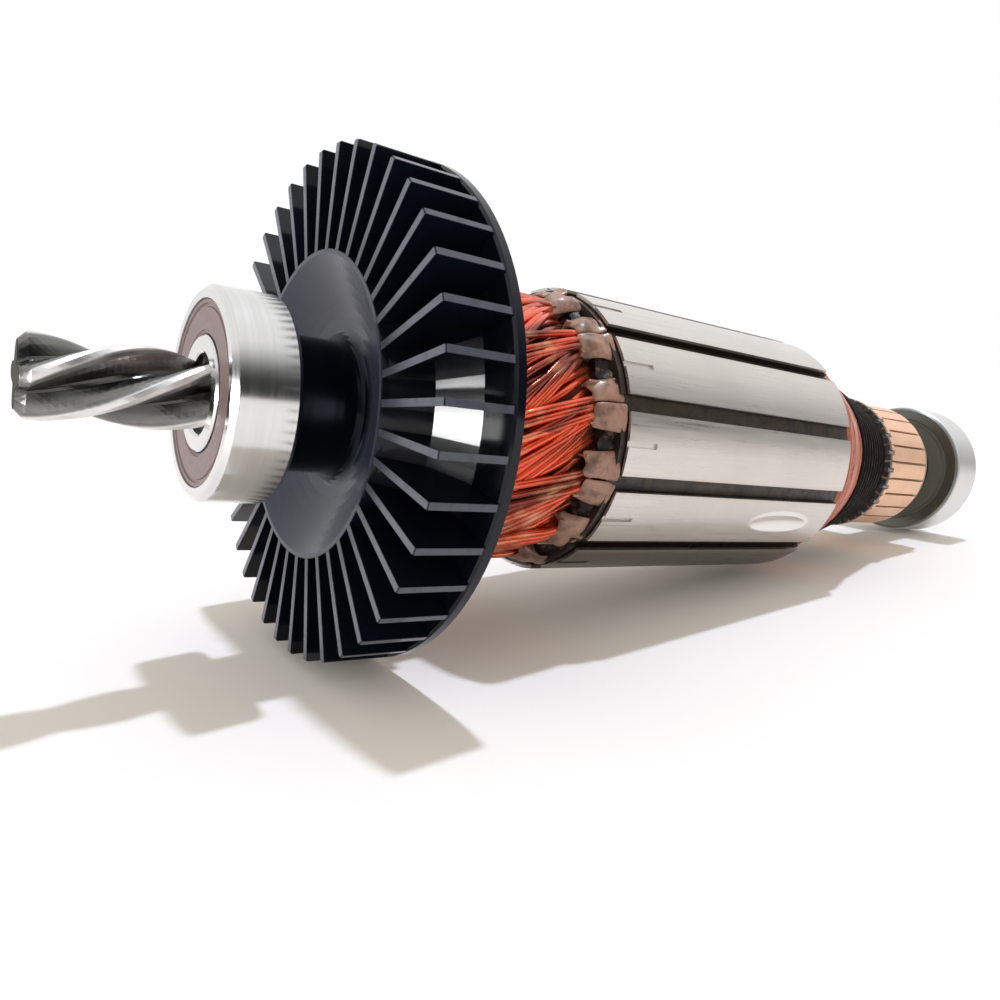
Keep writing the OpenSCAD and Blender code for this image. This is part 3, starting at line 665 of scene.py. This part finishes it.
class ARMATURE_OT_metal(bpy.types.Operator):
    """Finish the shaft, the bearings and the core"""
    bl_idname = "armature.metal"
    bl_label = "Metal parts"

    def execute(self, context):
        colours = context.scene.armature_colours
        dress("shaft", shaft_steel())
        dress("lamination_stack", core_steel(colours, context.scene.armature_winding))
        ring = ring_steel()
        ball = ball_steel()
        cage = resin("cage_polymer", (0.62, 0.52, 0.36))
        pale = rubber("front_seal_rubber", tuple(colours.seal), 0.4, *FRONT_SEAL, sheen=0.3)
        # painted light: the rear bearing's front seal is a lighter copy of the rubber of its rear seal,
        # for the light of its shaded place
        painted_lit_seal = rubber("rear_seal_rubber", (0.13, 0.138, 0.118), 0.36, *REAR_SEAL)
        dark = rubber("dark_seal_rubber", (0.05, 0.055, 0.048), 0.36, *REAR_SEAL)
        for end, outer, front_seal, rear_seal in (("front", ring, pale, pale),
                                                  ("rear", rear_ring_steel(), painted_lit_seal, dark)):
            dress(f"{end}_bearing_inner_ring", ring)
            dress(f"{end}_bearing_outer_ring", outer)
            dress(f"{end}_bearing_balls", ball)
            dress(f"{end}_bearing_cage", cage)
            dress(f"{end}_bearing_front_seal", front_seal)
            dress(f"{end}_bearing_rear_seal", rear_seal)
        return {"FINISHED"}


class ARMATURE_OT_fan(bpy.types.Operator):
    """Finish the moulded fan"""
    bl_idname = "armature.fan"
    bl_label = "Fan"

    def execute(self, context):
        dress("fan", fan_plastic(context.scene.armature_colours))
        return {"FINISHED"}


class ARMATURE_OT_insulation(bpy.types.Operator):
    """Finish the discs, liners, wedges and tube, and make the paper cuffs and the varnish fringe"""
    bl_idname = "armature.insulation"
    bl_label = "Insulation"

    def execute(self, context):
        colours = context.scene.armature_colours
        w = context.scene.armature_winding
        paper = fibre("liner_paper", tuple(colours.paper), 0.4)
        disc = fibre("end_disc_fibre", (0.03, 0.02, 0.015))
        dress("front_end_disc", disc)
        dress("rear_end_disc", disc)
        dress("slot_liners", paper)
        dress("slot_wedges", fibre("wedge_fibre", (0.045, 0.03, 0.018), 0.5))
        dress("shaft_insulation", resin("tube_plastic", (0.36, 0.04, 0.03)))
        rng = random.Random(w.seed + 1)
        self.cuffs(w, paper, rng)
        self.fringe(w, rng)
        return {"FINISHED"}

    def cuffs(self, w, paper, rng):
        """A pair of paper tabs at the front end of every slot."""
        bm = bmesh.new()
        for slot in slot_angles(w):
            for side in (-1, 1):
                self.tab(bm, w, slot, side, rng)
        bmesh.ops.recalc_face_normals(bm, faces=bm.faces)
        bmesh.ops.solidify(bm, geom=bm.faces[:], thickness=TAB_THICKNESS)
        bmesh.ops.recalc_face_normals(bm, faces=bm.faces)
        cuffs = smooth(mesh_object("paper_cuffs", bm, paper.material, "rotor"), math.pi)
        soften = cuffs.modifiers.new("soften", "SUBSURF")
        soften.levels = soften.render_levels = 2

    def tab(self, bm, w, slot, side, rng):
        """One crumpled paper tab beside a slot, that ends at the core's rim."""
        made = bmesh.ops.create_grid(bm, x_segments=5, y_segments=4, size=0.5)["verts"]
        long = w.cuff_length * rng.uniform(0.88, 1.08)
        wide = rng.uniform(4.7, 5.6) * MM
        lift = rng.uniform(-0.25, 0.3) * MM
        phase = rng.uniform(0, 6)
        for v in made:
            # p runs forwards from the core, q runs round the shaft from the slot
            p, q = v.co.x + 0.5, v.co.y + 0.5
            z = w.core_front - 0.1 * MM - long * p + rng.uniform(-0.5, 0.5) * MM * p
            off = side * (0.1 * MM + wide * q * (1 - 0.15 * p))
            r = TAB_RADIUS + lift - 2.2 * MM * max(0.0, q - 0.45) ** 1.5 - 1.5 * MM * p ** 3
            r += rng.uniform(-0.3, 0.3) * MM + 0.35 * MM * math.sin(5.2 * p + 3 * q + phase)
            r = min(r, TAB_REACH) + 0.75 * MM * max(0.0, 1 - p / 0.2)
            a = slot + off / TAB_MIDDLE
            v.co = (r * math.cos(a), r * math.sin(a), z)

    def fringe(self, w, rng):
        """The ragged ring of varnish under the tabs."""
        bm = lathe([(r * MM, w.core_front - ahead * MM) for r, ahead in FRINGE], steps=150)
        for v in bm.verts:
            if v.co.xy.length > 20 * MM:
                v.co.xy *= 1 + rng.uniform(-0.026, 0.01)
                v.co.z += rng.uniform(-0.9, 0.4) * MM
        smooth(mesh_object("varnish_fringe", bm, fringe_varnish().material, "rotor"))


def wire_mesh(name, paths, diameter, material):
    """One piece of many round wires, each along its own points."""
    curve = bpy.data.curves.new(name + "_path", "CURVE")
    curve.dimensions = "3D"
    curve.bevel_depth = diameter / 2
    curve.bevel_resolution = 1
    curve.use_fill_caps = True
    for points in paths:
        spline = curve.splines.new("POLY")
        spline.points.add(len(points) - 1)
        for target, point in zip(spline.points, points):
            target.co = (*point, 1)
    holder = bpy.data.objects.new(name + "_path", curve)
    bpy.context.scene.collection.objects.link(holder)
    bpy.context.view_layer.update()
    mesh = bpy.data.meshes.new_from_object(holder.evaluated_get(bpy.context.evaluated_depsgraph_get()))
    mesh.name = name
    bpy.data.objects.remove(holder)
    bpy.data.curves.remove(curve)
    obj = place(name, mesh, material, "rotor")
    obj.data.shade_smooth()
    return obj


class ARMATURE_OT_winding(bpy.types.Operator):
    """Wind the coils at both ends of the core"""
    bl_idname = "armature.winding"
    bl_label = "Winding"

    def execute(self, context):
        w = context.scene.armature_winding
        copper = copper_wire(context.scene.armature_colours)
        pale = rear_copper()
        rng = random.Random(w.seed)
        heads = self.body("coil_head_body", self.front_outline(w), varnish_and_gap_shade())
        front_wires = self.front_wires(w, copper, rng)
        rear_wires = self.rear_wires(w, pale, rng)
        rear = self.body("rear_head_body", self.rear_outline(w), pale)
        for piece in (heads, front_wires, rear_wires, rear):
            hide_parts("winding")
        dress("lead_wires", solder())
        return {"FINISHED"}

    def body(self, name, outline, finish):
        """A smooth body of varnish or coils under the wires."""
        return smooth(mesh_object(name, lathe(outline), finish.material, "rotor"))

    def front_outline(self, w):
        """Radii and stations of the front coil heads' body."""
        r = w.coil_radius
        front = w.coil_front
        return [
            (SLEEVE, front + 3 * MM), (11 * MM, front + 1.8 * MM), (r - 8.5 * MM, front + 1.4 * MM),
            (r - 4.6 * MM, front + 2.6 * MM), (r - 3.0 * MM, front + 5.5 * MM),
            (r - 2.7 * MM, w.core_front - 6 * MM), (r - 3.4 * MM, w.core_front - 2.4 * MM),
            (SLEEVE, w.core_front - 2.0 * MM)]

    def rear_outline(self, w):
        """Radii and stations of the rear coil heads' body."""
        return [
            (SLEEVE, w.core_rear + 2.4 * MM), (23.4 * MM, w.core_rear + 2.2 * MM),
            (REAR_SHELL * MM, w.core_rear + 4 * MM), (22.6 * MM, w.core_rear + 10 * MM),
            (19.4 * MM, w.binding_front + 1.5 * MM), (SLEEVE, w.binding_front + 1.6 * MM)]

    def front_wires(self, w, copper, rng):
        """The wires of the front coil heads, in two layers."""
        paths = []
        for slot in slot_angles(w):
            for s in range(w.strands):
                paths.append(self.front_strand(w, slot, s, rng))
            for u in spread(w.strands - 2):
                paths.append(self.under_strand(w, slot, u, rng))
        return wire_mesh("front_coil_wires", paths, w.wire, copper.material)

    def rear_wires(self, w, copper, rng):
        """The wires that run round behind the core."""
        paths = [self.rear_strand(w, slot, s, rng)
                 for slot in slot_angles(w) for s in range(w.rear_strands)]
        return wire_mesh("rear_coil_wires", paths, w.rear_wire, copper.material)

    def over_shoulder(self, w, t, rear, top):
        """Station and radius of a strand that runs forwards and turns in over the shoulder."""
        front = w.coil_front + w.wire / 2 + 0.2 * MM
        if t < STRAIGHT:
            return rear + (front + SHOULDER_LENGTH - rear) * t / STRAIGHT, top
        turn = (t - STRAIGHT) / (1 - STRAIGHT) * math.pi / 2
        return (front + SHOULDER_LENGTH * (1 - math.sin(turn)),
                top - SHOULDER_DEPTH * (1 - math.cos(turn)))

    def front_strand(self, w, slot, s, rng):
        """A strand that leaves its slot in a tight bundle and spreads over the head."""
        # strands lie side by side in threes, and u runs from the first strand to the last
        u = s / (w.strands - 1)
        deep = (s // 3) * w.wire * 0.8
        side = (s % 3 - 1) * w.wire * 0.95 / w.coil_radius
        wander = rng.uniform(-1, 1)
        lean = math.radians(12 + 47 * u + 2.2 * wander)
        rear = w.core_front - 2.2 * MM
        top = w.coil_radius - w.wire / 2 - 0.05 * MM
        points = []
        for t in spread(15):
            sink = 1.5 * MM * u * t + 0.25 * MM * abs(wander)
            z, r = self.over_shoulder(w, t, rear, top - sink)
            r -= deep * max(0.0, 1 - t / 0.4) ** 1.3 + 1.1 * MM * max(0.0, 1 - t / 0.2)
            r += 0.12 * MM * math.sin(7 * t + 5 * u + slot * 5.3)
            fan_out = min(1.0, t / 0.12) ** 0.5
            points.append(station(z, r, slot + side * (1 - t) + lean * t ** 1.12 * fan_out))
        return points

    def under_strand(self, w, slot, u, rng):
        """A strand of the layer below, which shows between the bundles."""
        lean = math.radians(24 + 20 * u)
        start = slot + math.radians(4 + 24 * u + rng.uniform(-1, 1))
        points = []
        for t in spread(12):
            z, r = self.over_shoulder(w, t, w.core_front - 4 * MM, w.coil_radius - 2.2 * MM)
            r += rng.uniform(-0.1, 0.1) * MM - 1.6 * MM * max(0.0, 1 - t / 0.3)
            points.append(station(z + 0.4 * MM, r, start + lean * t))
        return points

    def rear_strand(self, w, slot, s, rng):
        """A strand that runs round behind the core from slot to slot."""
        layer = s / (w.rear_strands - 1)
        reach = math.radians(118 + rng.uniform(-8, 8))
        points = []
        for t in spread(19):
            out = math.sin(math.pi * t) ** 0.45
            z = w.core_rear + 1.6 * MM + (1.2 + 12.4 * layer) * MM * out
            r = (REAR_SHELL - 0.3 * layer) * MM - max(0.0, z - w.core_rear - 4.5 * MM) * 0.36
            r += rng.uniform(-0.06, 0.06) * MM
            points.append(station(z, r, slot + math.radians(2.5 * (s % 3 - 1)) + reach * t))
        return points


class ARMATURE_OT_commutator(bpy.types.Operator):
    """Finish the commutator and the binding"""
    bl_idname = "armature.commutator"
    bl_label = "Commutator"

    def execute(self, context):
        dress("commutator_bars", bar_copper(context.scene.armature_colours))
        dress("commutator_body", resin("moulding", (0.30, 0.21, 0.13)))
        dress("binding_cord", bound_cord())
        return {"FINISHED"}


class ARMATURE_OT_stage(bpy.types.Operator):
    """Set the floor, the lamps, the surroundings and the camera"""
    bl_idname = "armature.stage"
    bl_label = "Stage"

    def execute(self, context):
        scene = context.scene
        s = scene.armature_stage
        scene.view_settings.view_transform = "Standard"
        self.floor(min(corner[2] for corner in CAD_BOX))
        self.surroundings(scene, s)
        self.lamps(s)
        self.camera(scene, s)
        return {"FINISHED"}

    def lamps(self, s):
        """The sun overhead, and a small softbox that glints but doesn't light the floor."""
        sun = bpy.data.lights.new("overhead", "SUN")
        sun.energy = s.key
        sun.angle = SUN_WIDTH
        sun.color = SUN_COLOUR
        self.hang(sun, SUN_FROM, (0, 0, 0))
        box = bpy.data.lights.new("window", "AREA")
        box.shape = "RECTANGLE"
        box.size, box.size_y = WINDOW_SIZE
        box.energy = s.window
        self.hang(box, WINDOW_AT, WINDOW_TOWARDS).visible_diffuse = False

    def hang(self, lamp, place_at, look_at):
        """Puts a lamp in the scene, turned to a point."""
        obj = bpy.data.objects.new(lamp.name, lamp)
        bpy.context.scene.collection.objects.link(obj)
        obj.location = place_at
        obj.rotation_euler = (Vector(look_at) - Vector(place_at)).to_track_quat("-Z", "Y").to_euler()
        return obj

    def camera(self, scene, s):
        """The camera, aimed by its azimuth, drop and roll."""
        data = bpy.data.cameras.new("camera")
        data.lens = s.lens
        data.sensor_width = FILM_WIDTH
        data.clip_start = NEAREST
        camera = bpy.data.objects.new("camera", data)
        scene.collection.objects.link(camera)
        turn = (Matrix.Rotation(-s.camera_azimuth, 4, "Z")
                @ Matrix.Rotation(math.pi / 2 - s.camera_drop, 4, "X")
                @ Matrix.Rotation(s.camera_roll, 4, "Z"))
        camera.matrix_world = Matrix.Translation(s.camera_place) @ turn
        scene.camera = camera

    def seen(self, graph):
        """The kinds of rays, and 1 for those to the camera, in gloss and through glass."""
        rays = graph.nodes.new("ShaderNodeLightPath").outputs
        total = rays["Is Camera Ray"]
        for kind in ("Is Glossy Ray", "Is Transmission Ray"):
            total = graph.math("MAXIMUM", total, rays[kind])
        return rays, total

    def floor(self, low):
        """A matt white floor just under the part, which glows faintly where it is seen."""
        bm = bmesh.new()
        bmesh.ops.create_grid(bm, x_segments=4, y_segments=4, size=FLOOR_HALF_SIDE)
        bmesh.ops.translate(bm, verts=bm.verts, vec=(0, 0, low - FLOOR_GAP))
        mesh = bpy.data.meshes.new("floor")
        bm.to_mesh(mesh)
        bm.free()
        obj = bpy.data.objects.new("floor", mesh)
        bpy.context.scene.collection.objects.link(obj)
        mat = bpy.data.materials.new("floor_white")
        mat.use_nodes = True
        g = Graph(mat.node_tree)
        shader = g.nodes["Principled BSDF"]
        for key, value in (("Base Color", (0.86, 0.85, 0.84, 1)), ("Roughness", 0.7),
                           ("Specular IOR Level", 0.2), ("Emission Color", (1.0, 0.93, 0.8, 1))):
            shader.inputs[key].default_value = value
        glow = g.math("MULTIPLY", self.seen(g)[1], 0.04)
        g.links.new(glow, shader.inputs["Emission Strength"])
        mesh.materials.append(mat)

    def surroundings(self, scene, s):
        """White all round, soft fill light, and in gloss a room that is dim on two sides."""
        world = bpy.data.worlds.new("surroundings")
        scene.world = world
        world.use_nodes = True
        g = Graph(world.node_tree)
        fill = g.nodes["Background"]
        fill.inputs["Color"].default_value = (*s.fill, 1)
        fill.inputs["Strength"].default_value = 1.0
        direction = g.nodes.new("ShaderNodeTexCoord").outputs["Generated"]
        split = g.nodes.new("ShaderNodeSeparateXYZ")
        g.links.new(direction, split.inputs[0])
        height = split.outputs[2]
        front = self.dim_lobe(g, direction, height, (0.358, -0.934, 0), (0.45, 0.9), (0.25, 1.15))
        left = self.dim_lobe(g, direction, height, (-0.99, -0.14, 0), (0.72, 0.93), (0.5, 1.0))
        rays, total = self.seen(g)
        dim = g.math("MULTIPLY", g.math("MAXIMUM", front, left), rays["Is Glossy Ray"])
        white = g.nodes.new("ShaderNodeBackground")
        white.inputs["Color"].default_value = (1, 1, 1, 1)
        g.links.new(g.math("SUBTRACT", 1.0, dim), white.inputs["Strength"])
        mix = g.nodes.new("ShaderNodeMixShader")
        for socket, value in zip(mix.inputs, (total, fill.outputs[0], white.outputs[0])):
            g.links.new(value, socket)
        g.links.new(mix.outputs[0], g.nodes["World Output"].inputs["Surface"])

    def dim_lobe(self, graph, direction, height, towards, wide, high):
        """How dim the room is: most towards one side, and less with height."""
        facing = graph.vector("DOT_PRODUCT", direction, towards)["Value"]
        across = graph.band(facing, *wide, 0.0, 0.95)
        return graph.math("MULTIPLY", across, graph.band(height, *high, 1.0, 0.0))


class ARMATURE_PT_panel(bpy.types.Panel):
    """Lists the armature's operators"""
    bl_idname = "ARMATURE_PT_panel"
    bl_label = "Motor armature"
    bl_space_type = "VIEW_3D"
    bl_region_type = "UI"
    bl_category = "Armature"

    def draw(self, context):
        """Lists the operators, then the settings."""
        for operator in OPERATORS:
            self.layout.operator(operator.bl_idname)
        for group in GROUPS:
            settings = getattr(context.scene, GROUPS[group])
            for key in group.__annotations__:
                self.layout.prop(settings, key)


OPERATORS = (ARMATURE_OT_metal, ARMATURE_OT_fan, ARMATURE_OT_insulation, ARMATURE_OT_winding,
             ARMATURE_OT_commutator, ARMATURE_OT_stage)
GROUPS = {ArmatureWinding: "armature_winding", ArmatureColours: "armature_colours",
          ArmatureStage: "armature_stage"}


def register():
    """Makes the classes and their settings known."""
    for cls in (*GROUPS, *OPERATORS, ARMATURE_PT_panel):
        bpy.utils.register_class(cls)
    for group, name in GROUPS.items():
        setattr(bpy.types.Scene, name, bpy.props.PointerProperty(type=group))


def unregister():
    """Takes back what register does."""
    for name in GROUPS.values():
        delattr(bpy.types.Scene, name)
    for cls in reversed((*GROUPS, *OPERATORS, ARMATURE_PT_panel)):
        bpy.utils.unregister_class(cls)


def main():
    """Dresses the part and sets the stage."""
    register()
    bpy.ops.armature.metal()
    bpy.ops.armature.fan()
    bpy.ops.armature.insulation()
    bpy.ops.armature.winding()
    bpy.ops.armature.commutator()
    bpy.ops.armature.stage()


if __name__ == "__main__":
    main()
